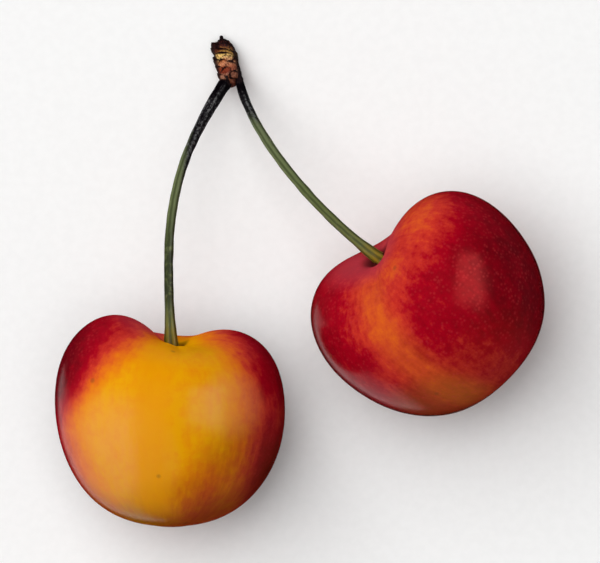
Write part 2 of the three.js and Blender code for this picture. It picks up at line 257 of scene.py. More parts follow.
def grid_faces(rows, sides, first_cap, last_cap):
    """Faces of a tube of rings, closed by a fan of triangles at each end."""
    faces = []
    for row in range(rows - 1):
        for side in range(sides):
            here, after = row * sides + side, row * sides + (side + 1) % sides
            faces.append((here, here + sides, after + sides, after))
    last = (rows - 1) * sides
    for side in range(sides):
        after = (side + 1) % sides
        faces.append((first_cap, side, after))
        faces.append((last_cap, last + after, last + side))
    return faces


def skin_radius(fruit, polar, around):
    """Distance from the middle of a fruit to its skin, as in the solids."""
    across = np.sin(polar) * np.sin(around)
    seamward = np.sin(polar) * np.cos(around)
    stalkward = np.cos(polar)
    oval = 1 / np.sqrt(
        (across / fruit["half_across"]) ** 2
        + (seamward / fruit["half_seam"]) ** 2
        + (stalkward / fruit["half_length"]) ** 2
    )
    degrees = np.degrees(polar)
    side = np.sin(around)
    share = np.abs(side) ** fruit["shoulder_sharpness"]
    height = fruit["shoulder"] + fruit["shoulder_skew"] * side
    middle = fruit["shoulder_polar"] + fruit["shoulder_polar_skew"] * side
    shoulder = height * share * bump(degrees, middle, fruit["shoulder_width"])
    cleft = fruit["cleft"] * (1 - share) * bump(degrees, fruit["cleft_polar"], fruit["cleft_width"])
    pit_depth = fruit["half_length"] - fruit["pit_floor"]
    pit = pit_depth * bump(degrees, 0, fruit["pit_width"] + fruit["pit_skew"] * side)
    tip = fruit["tip_flat"] * bump(degrees, 180, fruit["tip_width"])
    return oval + shoulder - cleft - pit - tip


def fine_relief(fruit, polar, around, seed):
    """What the fine skin adds to the skin radius: the seam's line, the dip of the rim, the moat
    round the stalk, the scar at the tip with its lip, and soft waves."""
    degrees = np.degrees(polar)
    past_top = np.degrees((around + math.pi) % (2 * math.pi) - math.pi)
    seam = SEAM_DEPTH * bump(past_top, fruit["seam_line"], SEAM_WIDTH)
    seam = seam * bump(degrees, SEAM_POLAR, SEAM_REACH)
    dip = RIM_DIP_DEPTH * bump(past_top, 0, RIM_DIP_WIDTH) * bump(degrees, RIM_DIP_POLAR, RIM_DIP_REACH)
    moat = MOAT_DEPTH * bump(degrees, MOAT_POLAR, MOAT_WIDTH)
    scar = TIP_SCAR_DEPTH * bump(degrees, 180, TIP_SCAR_WIDTH)
    lip_polar = 180 - TIP_LIP_OUT * TIP_SCAR_WIDTH
    lip = TIP_LIP_SHARE * TIP_SCAR_DEPTH * bump(degrees, lip_polar, TIP_SCAR_WIDTH)
    direction = np.stack(
        (np.sin(polar) * np.sin(around), np.sin(polar) * np.cos(around), np.cos(polar)), axis=-1
    )
    draw = np.random.default_rng(seed)
    waves = np.zeros_like(polar)
    for _ in range(WAVE_COUNT):
        tilt = draw.normal(size=3)
        waves += np.sin(direction @ tilt * draw.uniform(*WAVE_RATES) + draw.uniform(0, 2 * math.pi))
    return lip - seam - dip - moat - scar + WAVE_HEIGHT * waves / WAVE_SPREAD


def fruit_points(radius, polar, around):
    """Points of a fruit in its own frame, whose z points to its stalk and whose y is its seam."""
    reach = radius * np.sin(polar)
    return np.stack((reach * np.sin(around), reach * np.cos(around), radius * np.cos(polar)), axis=-1)


def fruit_place(fruit):
    """The axes of a fruit and its middle, set down so that REST_DEPTH of it is pressed flat."""
    axes = turn_along(fruit["stalk_azimuth"], fruit["stalk_rise"], fruit["seam_roll"])
    polar, around = np.meshgrid(
        np.linspace(PLACE_START, math.pi, PLACE_RINGS), np.linspace(0, 2 * math.pi, PLACE_SIDES)
    )
    radius = skin_radius(fruit, polar, around)
    lowest = (fruit_points(radius, polar, around) @ axes.T)[..., 2].min()
    return axes, np.array((*fruit["centre"], -lowest - REST_DEPTH))


def make_fruit(name, fruit, axes, middle, seed, material):
    """The fine skin of a fruit. Its attributes give a point's place on the fruit in millimetres, and
    the same place drawn out along the lines from the pit to the tip, for streaks."""
    shares = (np.arange(1, FRUIT_RINGS) / FRUIT_RINGS) ** RING_CROWDING
    turns = 2 * math.pi * np.arange(FRUIT_SIDES) / FRUIT_SIDES
    polar, around = np.meshgrid(math.pi * shares, turns, indexing="ij")
    polar = np.concatenate((polar.ravel(), (0.0, math.pi)))
    around = np.concatenate((around.ravel(), (0.0, 0.0)))
    radius = skin_radius(fruit, polar, around) + fine_relief(fruit, polar, around, seed)
    local = fruit_points(radius, polar, around)
    world = local @ axes.T + middle
    low = world[:, 2]
    world[:, 2] = (low + np.sqrt(low**2 + REST_ROUNDING**2)) / 2
    grain = np.stack(
        (STREAK_ROUND * np.sin(around), STREAK_ROUND * np.cos(around), STREAK_ALONG * radius * polar),
        axis=-1,
    )
    faces = grid_faces(len(shares), FRUIT_SIDES, len(world) - 2, len(world) - 1)
    return make_object(name, world, faces, material, {"skin": local, "grain": grain})


def run_along(points):
    """How far along a line each of its points is."""
    steps = np.linalg.norm(np.diff(points, axis=0), axis=1)
    return np.concatenate(((0,), np.cumsum(steps)))


def smooth_line(corners, count):
    """A smooth line through a few points (uniform Catmull-Rom)."""
    corners = np.asarray(corners, dtype=float)
    padded = np.vstack((2 * corners[0] - corners[1], corners, 2 * corners[-1] - corners[-2]))
    line = []
    for share in np.linspace(0, len(corners) - 1 - 1e-9, count):
        i = int(share)
        t = share - i
        a, b, c, d = padded[i : i + 4]
        line.append(
            0.5 * (2 * b + (c - a) * t + (2 * a - 5 * b + 4 * c - d) * t**2 + (3 * b - a - 3 * c + d) * t**3)
        )
    return np.array(line)


def bar_frames(points):
    """Two directions across a line at each of its points, carried along without a twist."""
    heading = np.gradient(points, axis=0)
    heading /= np.linalg.norm(heading, axis=1)[:, None]
    across = np.cross(heading[0], SQUARE_TO)
    firsts, seconds = [], []
    for direction in heading:
        across = across - direction * (across @ direction)
        across = across / np.linalg.norm(across)
        firsts.append(across)
        seconds.append(np.cross(direction, across))
    return np.array(firsts), np.array(seconds)


def make_bar(name, points, radii, material, values=None):
    """A bar along a line. radii has a row for each point and a column for each side. Its attribute
    grain is a point's place across the bar and along it."""
    firsts, seconds = bar_frames(points)
    sides = radii.shape[1]
    turns = 2 * math.pi * np.arange(sides) / sides
    rims = (
        points[:, None, :]
        + radii[:, :, None] * np.cos(turns)[None, :, None] * firsts[:, None, :]
        + radii[:, :, None] * np.sin(turns)[None, :, None] * seconds[:, None, :]
    )
    run = run_along(points)
    grain = np.empty(rims.shape)
    grain[:, :, 0] = radii * np.cos(turns)
    grain[:, :, 1] = radii * np.sin(turns)
    grain[:, :, 2] = run[:, None]
    ends = np.array(((0, 0, 0), (0, 0, run[-1])))
    world = np.vstack((rims.reshape(-1, 3), points[0], points[-1]))
    grain = np.vstack((grain.reshape(-1, 3), ends))
    faces = grid_faces(len(points), sides, len(world) - 2, len(world) - 1)
    faces = [tuple(reversed(face)) for face in faces]
    return make_object(name, world, faces, material, {"grain": grain}, values)


def stalk_points(stalk, fruit, axes, middle):
    """Points spread evenly along a stalk's middle line, from just below the pit's floor to the
    knot and FOOT_OVERLAP on into it. Also how far along each is, and the length to the knot."""
    start = middle + axes[:, 2] * (fruit["pit_floor"] - SOCKET_DEPTH)
    guides = np.array((start, stalk["steer_near"], stalk["steer_far"], stalk["end"]))
    t = np.linspace(0, 1, CURVE_STEPS)[:, None]
    line = (
        (1 - t) ** 3 * guides[0]
        + 3 * (1 - t) ** 2 * t * guides[1]
        + 3 * (1 - t) * t**2 * guides[2]
        + t**3 * guides[3]
    )
    run = run_along(line)
    heading = guides[3] - guides[2]
    line = np.vstack((line, guides[3] + heading / np.linalg.norm(heading) * FOOT_OVERLAP))
    length = run[-1]
    run = np.append(run, length + FOOT_OVERLAP)
    even = np.linspace(0, run[-1], STALK_STEPS)
    return np.column_stack([np.interp(even, run, line[:, i]) for i in range(3)]), even, length


def make_stalk(name, stalk, fruit, axes, middle, seed, material):
    """A stalk with low ridges. Its attributes also give the share of its length that a point is at,
    and how near the crest of a ridge the point is."""
    points, run, length = stalk_points(stalk, fruit, axes, middle)
    flare = (stalk["radius_at_fruit"] - stalk["radius"]) * np.exp(-((run / FLARE_LENGTH) ** 2))
    short_of_knot = np.maximum(length - run, 0)
    swell = (stalk["radius_at_knot"] - stalk["radius"]) * np.exp(-((short_of_knot / SWELL_LENGTH) ** 2))
    draw = np.random.default_rng(seed)
    turns = 2 * math.pi * np.arange(STALK_SIDES) / STALK_SIDES
    waves = np.zeros((STALK_STEPS, STALK_SIDES))
    for _ in range(STALK_WAVES):
        rounds = draw.integers(0, STALK_WAVE_ROUNDS)
        phase = draw.uniform(0, 2 * math.pi)
        rate = draw.uniform(*STALK_WAVE_RATES)
        waves += np.sin(run[:, None] * rate + rounds * turns[None, :] + phase)
    ridge_turn = RIDGE_COUNT * turns[None, :] + RIDGE_TWIST * run[:, None]
    ridges = np.cos(ridge_turn) * (1 + ROOT_RIDGES * np.exp(-((run[:, None] / ROOT_LENGTH) ** 2)))
    relief = 1 + RIDGE_DEPTH * ridges + STALK_WAVE_DEPTH * waves
    radii = (stalk["radius"] + flare + swell)[:, None] * relief
    share = np.repeat(run / length, STALK_SIDES)
    share = np.append(share, (0.0, run[-1] / length))
    crest = np.append(np.broadcast_to(np.cos(ridge_turn), radii.shape).ravel(), (0.0, 0.0))
    return make_bar(name, points, radii, material, {"share": share, "crest": crest})


def knot_point(angle_degrees, reach, height):
    """A point in the knot's own frame, whose z points along its middle line."""
    angle = np.radians(angle_degrees)
    lean = TIP_LEAN * np.clip((height - LEAN_START) / (KNOT["tip"] - LEAN_START), 0, 1) ** 1.5
    return np.stack(
        np.broadcast_arrays(reach * np.cos(angle) + lean, reach * np.sin(angle), height), axis=-1
    )


def knot_world(local):
    """Points in the knot's own frame, as points of the whole part."""
    return local @ turn_along(KNOT["azimuth"], KNOT["rise"], 0).T + np.array(KNOT["fork"])


def above_table(points):
    """The same points, with none under the table top."""
    return np.maximum(points, (-np.inf, -np.inf, 0.0))


def core_radius(height):
    """The core's radius at a height, by its profile."""
    heights, radii = zip(*CORE_PROFILE)
    return np.interp(height, heights, radii)


def make_core(name, material):
    """The woody core of the knot, rough all over and broken off at its tip."""
    rows, sides = CORE["rows"], CORE["sides"]
    height = np.linspace(KNOT["start"] - CORE["sunk"], KNOT["tip"], rows)
    turns = 360 * np.arange(sides) / sides
    heights, angles = np.meshgrid(height, turns, indexing="ij")
    around = np.radians(angles)
    draw = np.random.default_rng(CORE["seed"])
    rough = np.zeros_like(heights)
    for _ in range(CORE["waves"]):
        rate = draw.uniform(*CORE["wave_rates"])
        rounds = draw.integers(*CORE["wave_rounds"])
        rough += np.sin(heights * rate + around * rounds + draw.uniform(0, PHASES))
    radius = core_radius(heights) * (1 + CORE["wave_depth"] * rough)
    broken = np.clip((heights - CORE["broken_from"]) / CORE["broken_over"], 0, 1)
    heights = heights + broken * CORE["jag_height"] * np.sin(around * CORE["jags"] + CORE["jag_turn"])
    local = knot_point(angles, radius, heights).reshape(-1, 3)
    local = np.vstack((local, (0, 0, height[0]), (0, 0, height[-1] - CORE["dish"])))
    world = above_table(knot_world(local))
    faces = grid_faces(rows, sides, len(world) - 2, len(world) - 1)
    tone = np.zeros(len(world))
    edge = np.ones(len(world))
    return make_object(name, world, faces, material, {"knot": local}, {"tone": tone, "edge": edge})


def ripple(along, depth, rate, draw):
    """A wave of that depth and rate, which starts at a random phase."""
    return depth * np.sin(rate * along + draw.uniform(0, PHASES))


def blade_faces(rows, sides):
    """Faces of a thin blade: its outer side, its inner side and the border between them."""
    half = rows * sides
    faces = []
    for row in range(rows - 1):
        for side in range(sides - 1):
            here = row * sides + side
            above = here + sides
            faces.append((here, above, above + 1, here + 1))
            faces.append((half + here, half + here + 1, half + above + 1, half + above))
    border = list(range(sides))
    border += [row * sides + sides - 1 for row in range(1, rows)]
    border += [(rows - 1) * sides + side for side in range(sides - 2, -1, -1)]
    border += [row * sides for row in range(rows - 2, 0, -1)]
    for here, after in zip(border, border[1:] + border[:1]):
        faces.append((here, after, half + after, half + here))
    return faces


def scale_blade(height, angle, length, width, lean, slant, draw):
    """One bud scale: a thin curved blade with a ragged tip. Returns its points in the knot's own
    frame, and how near its rim each point is. v runs up the blade and u across it."""
    v, u = np.meshgrid(np.linspace(0, 1, BLADE["rows"]), np.linspace(-1, 1, BLADE["sides"]), indexing="ij")
    outline = np.sqrt(1 - v**6) * (BLADE["root_width"] + BLADE["belly"] * np.sin(math.pi * v))
    ragged = 1 + ripple(v, *BLADE["coarse_rim"], draw) + ripple(v, *BLADE["fine_rim"], draw)
    half_width = 0.5 * width * outline * ragged
    radius = core_radius(height)
    turn = angle - np.degrees(u * half_width / radius)
    tip_shift = ripple(u, *BLADE["tip_ripple"], draw) * v**2
    level = height + (v - 0.5) * length + tip_shift + slant * u * half_width
    ridge = ripple(u, *BLADE["ridges"], draw) + BLADE["fine_ridges"] * np.sin(17 * u + 3 * v)
    thickness = BLADE["thickness"] * (1 - 0.75 * np.abs(u) ** 3) * (1 - 0.3 * v)
    bow = BLADE["bow"] * np.sin(math.pi * np.clip(v * 0.62 + 0.1, 0, 1))
    bow = bow + lean * v**2 - BLADE["cupped"] * u**2
    outer = knot_point(turn, radius - BLADE["outer_sunk"] + bow + thickness * (1 + ridge), level)
    inner = knot_point(turn, radius - BLADE["inner_sunk"] + bow - thickness * 0.5, level)
    points = np.concatenate((outer.reshape(-1, 3), inner.reshape(-1, 3)))
    rim = np.minimum(1 - np.abs(u), (1 - v) * 1.3)
    return points, np.concatenate((rim.ravel(), np.zeros(rim.size)))


def make_scales(name, material):
    """Every bud scale, each with a tone of its own from 0 to 1."""
    draw = random.Random(SCALE_SEED)
    pattern = blade_faces(BLADE["rows"], BLADE["sides"])
    points, faces, tones, edges = [], [], [], []
    count = 0
    for height, number, first_angle, length, width, lean, slant in SCALE_ROWS:
        for i in range(number):
            size = 1 + SIZE_STRAY * draw.uniform(-1, 1)
            angle = first_angle + 360 * i / number + draw.uniform(-ANGLE_STRAY, ANGLE_STRAY)
            own_slant = slant + draw.uniform(-SLANT_STRAY, SLANT_STRAY)
            blade, rim = scale_blade(height, angle, length * size, width * size, lean, own_slant, draw)
            points.append(blade)
            faces.extend(tuple(corner + count for corner in face) for face in pattern)
            tones.append(np.full(len(blade), draw.random()))
            edges.append(rim)
            count += len(blade)
    local = np.concatenate(points)
    values = {"tone": np.concatenate(tones), "edge": np.concatenate(edges)}
    return make_object(name, above_table(knot_world(local)), faces, material, {"knot": local}, values)


def rippled(share, sides, ripples):
    """What a bar's radii are multiplied by: 1 and a few ripples round it and along it."""
    turns = 2 * math.pi * np.arange(sides) / sides
    factors = np.ones((len(share), sides))
    for depth, rounds, rate in ripples:
        factors = factors + depth * np.sin(rounds * turns[None, :] + rate * share[:, None])
    return factors


def make_strip(name, material):
    """The strip of bark that carries the right stalk on along the knot and ends in a spike."""
    strip = BARK_STRIP
    corners = [RIGHT_STALK["end"], *[knot_world(knot_point(*corner)) for corner in strip["path"]]]
    share = np.linspace(0, 1, strip["steps"])
    power = strip["sharpness"]
    thin = strip["radius"] + (strip["spike_radius"] - strip["radius"]) * share**power
    thin = thin + (RIGHT_STALK["radius_at_knot"] - strip["radius"]) * (1 - share) ** power
    radii = thin[:, None] * rippled(share, strip["sides"], strip["ripples"])
    return make_bar(name, smooth_line(corners, strip["steps"]), radii, material)


def make_foot(name, material):
    """The woody foot that carries the left stalk on into the core."""
    stalk_end = np.array(LEFT_STALK["end"])
    inside = knot_world(knot_point(FOOT["angle"], FOOT["reach"], FOOT["height"]))
    corners = [stalk_end, (stalk_end + inside) / 2, inside]
    share = np.linspace(0, 1, FOOT["steps"])
    rounding = np.sqrt(1 - FOOT["taper"] * share ** FOOT["sharpness"])
    rough = rippled(share, FOOT["sides"], FOOT["ripples"])
    radii = LEFT_STALK["radius_at_knot"] * rounding[:, None] * rough
    return make_bar(name, smooth_line(corners, FOOT["steps"]), radii, material)


def make_thorn(name, material):
    """The small spike that the broken cap of the knot ends in."""
    corners = [knot_world(knot_point(*corner)) for corner in THORN["path"]]
    share = np.linspace(0, 1, THORN["steps"])
    thin = THORN["radius"] * (1 - THORN["taper"] * share**2)
    radii = thin[:, None] * rippled(share, THORN["sides"], THORN["ripples"])
    return make_bar(name, smooth_line(corners, THORN["steps"]), radii, material)


class Graph:
    """A material's node tree, with one short call for each kind of node."""

    def __init__(self, name):
        self.material = bpy.data.materials.new(name)
        self.material.use_nodes = True
        self.tree = self.material.node_tree
        self.tree.nodes.clear()

    def node(self, kind, inputs=None, **settings):
        node = self.tree.nodes.new("ShaderNode" + kind)
        for key, value in settings.items():
            setattr(node, key, value)
        for key, value in (inputs or {}).items():
            self.feed(node.inputs[key], value)
        return node

    def feed(self, socket, value):
        if isinstance(value, bpy.types.NodeSocket):
            self.tree.links.new(value, socket)
        elif value is not None:
            socket.default_value = value

    def attribute(self, name, output="Vector"):
        return self.node("Attribute", attribute_name=name).outputs[output]

    def math(self, operation, first, second=None, clamp=False):
        node = self.node("Math", {0: first, 1: second}, operation=operation, use_clamp=clamp)
        return node.outputs[0]

    def add(self, first, second):
        return self.math("ADD", first, second)

    def times(self, first, second):
        return self.math("MULTIPLY", first, second)

    def vector(self, operation, first, second=None, output="Vector"):
        node = self.node("VectorMath", {0: first, 1: second}, operation=operation)
        return node.outputs[output]

    def facing(self, direction, other):
        """1 where a direction is the other one, 0 where it is square to it, -1 where it is opposite."""
        return self.vector("DOT_PRODUCT", direction, other, "Value")

    def stretch(self, place, scale):
        return self.node("Mapping", {"Vector": place, "Scale": scale}).outputs[0]

    def noise(self, place, scale, detail=3.0, roughness=0.5):
        inputs = {"Vector": place, "Scale": scale, "Detail": detail, "Roughness": roughness}
        return self.node("TexNoise", inputs).outputs["Fac"]

    def cells(self, place, scale):
        return self.node("TexVoronoi", {"Vector": place, "Scale": scale}).outputs["Distance"]

    def fade(self, value, low, high, to_low=0.0, to_high=1.0):
        """A smooth step from to_low to to_high as the value goes from low to high."""
        inputs = {"Value": value, "From Min": low, "From Max": high, "To Min": to_low, "To Max": to_high}
        return self.node("MapRange", inputs, interpolation_type="SMOOTHSTEP").outputs["Result"]

    def sway(self, pattern, amount):
        """A pattern from 0 to 1, as a shift either way."""
        return self.times(self.math("SUBTRACT", pattern, 0.5), amount)

    def mix(self, share, first, second):
        node = self.node("Mix", data_type="RGBA", clamp_factor=True)
        factor = node.inputs["Factor"]
        start, end = [socket for socket in node.inputs if socket.type == "RGBA"]
        for socket, value in ((factor, share), (start, first), (end, second)):
            self.feed(socket, value)
        return next(socket for socket in node.outputs if socket.type == "RGBA")

    def ramp(self, value, stops):
        node = self.node("ValToRGB", {"Fac": value})
        elements = node.color_ramp.elements
        while len(elements) > 1:
            elements.remove(elements[-1])
        elements[0].position, elements[0].color = stops[0][0], rgb(*stops[0][1:])
        for position, *colour in stops[1:]:
            elements.new(position).color = rgb(*colour)
        return node.outputs["Color"]

    def bump(self, height, strength, distance):
        inputs = {"Height": height, "Strength": strength, "Distance": distance}
        return self.node("Bump", inputs).outputs["Normal"]

    def surface(self, inputs):
        """Closes the material with its one shader."""
        shader = self.node("BsdfPrincipled", inputs)
        self.node("OutputMaterial", {"Surface": shader.outputs[0]})
        return self.material


def rgb(red, green, blue):
    """A colour with full alpha, as the nodes take it."""
    return (red, green, blue, 1.0)


# Skin colours in the order that a fruit reddens. Every stop is its place and its red, green and blue.
SKIN_RAMP = (
    (0.0, 0.76, 0.33, 0.001),
    (0.2, 0.74, 0.21, 0.004),
    (0.38, 0.68, 0.11, 0.012),
    (0.55, 0.54, 0.032, 0.018),
    (0.7, 0.35, 0.001, 0.010),
    (0.86, 0.24, 0.001, 0.007),
    (1.0, 0.14, 0.001, 0.005),
)
# Painted shade for the rims and underside, where the skin turns away from the light
PAINTED_UNDERSIDE_SHADE = rgb(0.10, 0.012, 0.002)
# Painted sheen: a pale peach that stands in for a reflection of the table and a soft highlight
PAINTED_SHEEN_PEACH = rgb(0.80, 0.33, 0.11)
SKIN_BRONZE = rgb(0.27, 0.065, 0.010)
# Partly the skin's own brown, partly painted shade at the lower rims
SKIN_TAN_AND_SHADE = rgb(0.11, 0.018, 0.001)
SEAM_ORANGE = rgb(0.74, 0.28, 0.001)
# Partly the skin's own bloom, partly a painted sheen round the pit
PIT_BLOOM_AND_SHEEN = rgb(0.46, 0.06, 0.08)
# Painted shade: the dark of the hole round the stalk in the pit
PIT_PAINTED_SHADE = rgb(0.02, 0.004, 0.002)
SPECKLE = rgb(0.52, 0.035, 0.04)
BROWN_MARK = rgb(0.16, 0.05, 0.015)

# Patterns of the skin: noise scale, detail and roughness, and how far each sways the redness.
CLOUDS = (0.17, 3.0, 0.5)
CLOUD_SWAY = 0.16
MOTTLE = (0.8, 6.0, 0.7)
MOTTLE_SWAY = 0.44
STREAKS = (1.6, 4.0, 0.62)
STREAK_SWAY = 0.24
SPECKLE_SCALE = 2.1
BROWN_MARK_SCALE = 0.16

# Where each fruit is redder or paler: polar and around of the patch's middle, how far its full
# strength and its edge reach in degrees, and how much it adds to the redness from 0 to 1.
LEFT_PATCHES = (
    (48, 104, 18, 56, 0.72),
    (84, 108, 16, 60, 0.34),
    (122, 100, 6, 50, 0.38),
    (85, -95, 34, 78, 0.8),
    (112, -62, 12, 44, -0.3),
    (60, -50, 8, 30, -0.08),
    (138, -56, 12, 60, 0.4),
    (95, 180, 45, 90, 0.6),
)
RIGHT_PATCHES = (
    (48, 6, 6, 36, -0.2),
    (68, 10, 4, 24, -0.07),
    (88, 10, 4, 28, -0.08),
    (106, 18, 6, 38, -0.07),
    (132, -8, 8, 40, -0.12),
    (38, -62, 8, 36, -0.18),
    (98, -84, 16, 60, 0.2),
    (56, 66, 8, 30, 0.08),
    (58, -92, 8, 38, -0.1),
    (90, 178, 30, 90, -0.2),
)
# Washes over that: the middle, full strength and edge as above, then how strong it is and its colour.
LEFT_WASHES = (
    # Painted sheen: the peach washes stand in for a reflection of the table at the lower left and a soft
    # highlight
    (106, 44, 4, 42, 0.42, PAINTED_SHEEN_PEACH),
    (76, -30, 2, 24, 0.3, PAINTED_SHEEN_PEACH),
    # The tan washes: partly brown skin, partly painted shade at the lower rims
    (118, -40, 6, 42, 0.42, SKIN_TAN_AND_SHADE),
    (146, 6, 10, 34, 0.3, SKIN_TAN_AND_SHADE),
)
RIGHT_WASHES = (
    # The tan wash: partly brown skin, partly painted shade at the lower rim
    (128, -24, 6, 40, 0.2, SKIN_TAN_AND_SHADE),
    (126, 28, 8, 34, 0.6, SKIN_BRONZE),
)
# Rings round the pit or the tip: where full strength and the edge are in degrees, and how strong.
PITWARD = (0, 0, 1)
TIPWARD = (0, 0, -1)
# Where the bloom round the pit reaches, partly painted sheen
BLOOM_AND_SHEEN_RING = (12, 36, 0.5)
# Where the painted shade of the pit's hole reaches
PIT_SHADE_RING = (7, 14, 0.9)
# Where the painted shade of the rims and underside reaches, away from the pit
PAINTED_SHADE_RING = (130, 150, 1.0)
GLOSS_RING = (132, 160, 0.22)

# Each skin. redness is that of its ground, up the way that its brightest side faces as it lies, away
# from which painted shade darkens the rims and underside, and stripe and speckles are how strong those
# are. rim_gloss is how much of the gloss is left where the skin turns away from the view.
LEFT_SKIN = dict(
    name="skin_yellow_red", redness=0.03, patches=LEFT_PATCHES, washes=LEFT_WASHES, up=(-0.1, 0.4, 0.91),
    stripe=0.72, speckles=0.22, gloss_tint=rgb(0.16, 0.17, 0.18), rim_gloss=0.03,
)
RIGHT_SKIN = dict(
    name="skin_crimson", redness=0.75, patches=RIGHT_PATCHES, washes=RIGHT_WASHES, up=(0.0, 0.0, 1.0),
    stripe=0.12, speckles=0.28, gloss_tint=rgb(1.0, 0.12, 0.1), rim_gloss=0.6,
)


def toward(polar, around):
    """The direction on a fruit that its polar and around angles give."""
    polar, around = math.radians(polar), math.radians(around)
    return (math.sin(polar) * math.sin(around), math.sin(polar) * math.cos(around), math.cos(polar))


def within(graph, direction, middle, full, edge, amount):
    """amount inside full degrees of a middle direction, fading to nothing at edge degrees."""
    facing = graph.facing(direction, middle)
    return graph.fade(facing, math.cos(math.radians(edge)), math.cos(math.radians(full)), 0.0, amount)


def add_washes(graph, colour, direction, streaks, washes):
    """Soft washes over the blush, a little thinner between the streaks. Some of them are painted sheen and
    painted shade.
    """
    for polar, around, full, edge, amount, tint in washes:
        wash = within(graph, direction, toward(polar, around), full, edge, amount)
        wash = graph.times(wash, graph.fade(streaks, 0.3, 0.6, 0.7, 1.0))
        colour = graph.mix(wash, colour, tint)
    return colour


def add_stripe(graph, colour, direction, streaks, seam_line, strength):
    """The orange stripe down the seam, on the upper side alone."""
    beside = graph.facing(direction, toward(90, seam_line + 90))
    ahead = graph.facing(direction, toward(90, seam_line))
    off_seam = graph.add(graph.math("ABSOLUTE", beside), graph.sway(streaks, 0.1))
    stripe = graph.fade(off_seam, 0.06, 0.27, strength, 0.0)
    stripe = graph.times(stripe, graph.fade(ahead, 0.25, 0.75))
    return graph.mix(stripe, colour, SEAM_ORANGE)


def add_bloom_and_sheen(graph, colour, direction, total):
    """A pink bloom round the pit, where the skin is red: partly the skin's own bloom, partly painted sheen.
    """
    bloom_and_sheen = within(graph, direction, PITWARD, *BLOOM_AND_SHEEN_RING)
    bloom_and_sheen = graph.times(bloom_and_sheen, graph.fade(total, 0.3, 0.6))
    return graph.mix(bloom_and_sheen, colour, PIT_BLOOM_AND_SHEEN)


def speckle_dots(graph, skin, total, strength):
    """Pale dots where the skin is red, stronger in some places than in others."""
    dots = graph.fade(graph.cells(skin, SPECKLE_SCALE), 0.1, 0.5, 1.0, 0.0)
    thinned = graph.fade(graph.noise(skin, 0.6, 2.0), 0.35, 0.65, 0.3, 1.0)
    dots = graph.times(dots, graph.times(thinned, graph.fade(total, 0.3, 0.62)))
    return graph.times(dots, strength)


def add_painted_underside_shade(graph, colour, direction, mottle, up):
    """Painted shade: a darker colour away from the upper side, on the rims and underside, left out round the
    pit.
    """
    facing_up = graph.add(graph.facing(direction, up), graph.sway(mottle, 0.14))
    painted_shade = graph.fade(facing_up, -0.15, 0.3, 0.5, 0.0)
    painted_shade = graph.times(painted_shade, within(graph, direction, TIPWARD, *PAINTED_SHADE_RING))
    return graph.mix(painted_shade, colour, PAINTED_UNDERSIDE_SHADE)


def skin_material(look, up, seam_line):
    """Waxy fruit skin: a yellow ground under a red blush, with streaks, washes (some of them painted sheen
    and painted shade), the seam's stripe, a bloom round the pit that is partly painted sheen, pale
    speckles, a few brown marks, painted shade in the pit and painted shade on the rims and underside.
    up is in the fruit's own frame."""
    graph = Graph(look["name"])
    skin = graph.attribute("skin")
    grain = graph.attribute("grain")
    direction = graph.vector("NORMALIZE", skin)
    clouds = graph.noise(skin, *CLOUDS)
    mottle = graph.noise(skin, *MOTTLE)
    streaks = graph.noise(grain, *STREAKS)
    total = look["redness"]
    for polar, around, full, edge, amount in look["patches"]:
        patch = within(graph, direction, toward(polar, around), full, edge, amount)
        total = graph.add(patch, total)
    for pattern, amount in ((clouds, CLOUD_SWAY), (mottle, MOTTLE_SWAY), (streaks, STREAK_SWAY)):
        total = graph.add(total, graph.sway(pattern, amount))
    total = graph.math("ADD", total, 0.0, clamp=True)
    colour = graph.ramp(total, SKIN_RAMP)
    colour = add_washes(graph, colour, direction, streaks, look["washes"])
    colour = add_stripe(graph, colour, direction, streaks, seam_line, look["stripe"])
    # Pink bloom round the pit, partly painted sheen
    colour = add_bloom_and_sheen(graph, colour, direction, total)
    dots = speckle_dots(graph, skin, total, look["speckles"])
    colour = graph.mix(dots, colour, SPECKLE)
    marks = graph.fade(graph.cells(skin, BROWN_MARK_SCALE), 0.02, 0.07, 0.45, 0.0)
    colour = graph.mix(marks, colour, BROWN_MARK)
    # Painted shade in the pit round the stalk
    colour = graph.mix(within(graph, direction, PITWARD, *PIT_SHADE_RING), colour, PIT_PAINTED_SHADE)
    # Painted shade on the rims and underside
    colour = add_painted_underside_shade(graph, colour, direction, mottle, up)

    # The gloss fades out in the pit, and sinks to rim_gloss where the skin turns away.
    gloss = within(graph, direction, TIPWARD, *GLOSS_RING)
    slope = graph.node("LayerWeight", {"Blend": 0.5}).outputs["Facing"]
    rim = graph.fade(slope, 0.62, 0.86, 1.0, look["rim_gloss"])
    height = graph.add(graph.times(mottle, 0.6), graph.times(dots, 0.1))
    return graph.surface({
        "Base Color": colour,
        "Roughness": graph.fade(mottle, 0.3, 0.7, 0.17, 0.26),
        "Normal": graph.bump(height, 0.12, 0.0003),
        "IOR": 1.42,
        "Specular IOR Level": graph.times(gloss, rim),
        "Specular Tint": look["gloss_tint"],
        "Subsurface Weight": 0.06,
        "Subsurface Radius": (1.0, 0.3, 0.1),
        "Subsurface Scale": 0.001,
    })


# A stalk's greens from the fruit to the knot, by the share of its length.
STALK_RAMP = (
    (0.0, 0.26, 0.15, 0.006),
    (0.05, 0.19, 0.15, 0.012),
    (0.11, 0.125, 0.135, 0.035),
    (0.4, 0.11, 0.135, 0.045),
    (0.6, 0.125, 0.15, 0.062),
    (0.8, 0.12, 0.145, 0.07),
    (1.0, 0.07, 0.08, 0.06),
)
STALK_SHADOW = rgb(0.010, 0.015, 0.003)
# Painted shade in the grooves between the ridges
STALK_GROOVE_SHADE = rgb(0.028, 0.036, 0.010)
STALK_FIBRE = rgb(0.30, 0.33, 0.18)
STALK_SPOT = rgb(0.20, 0.17, 0.10)
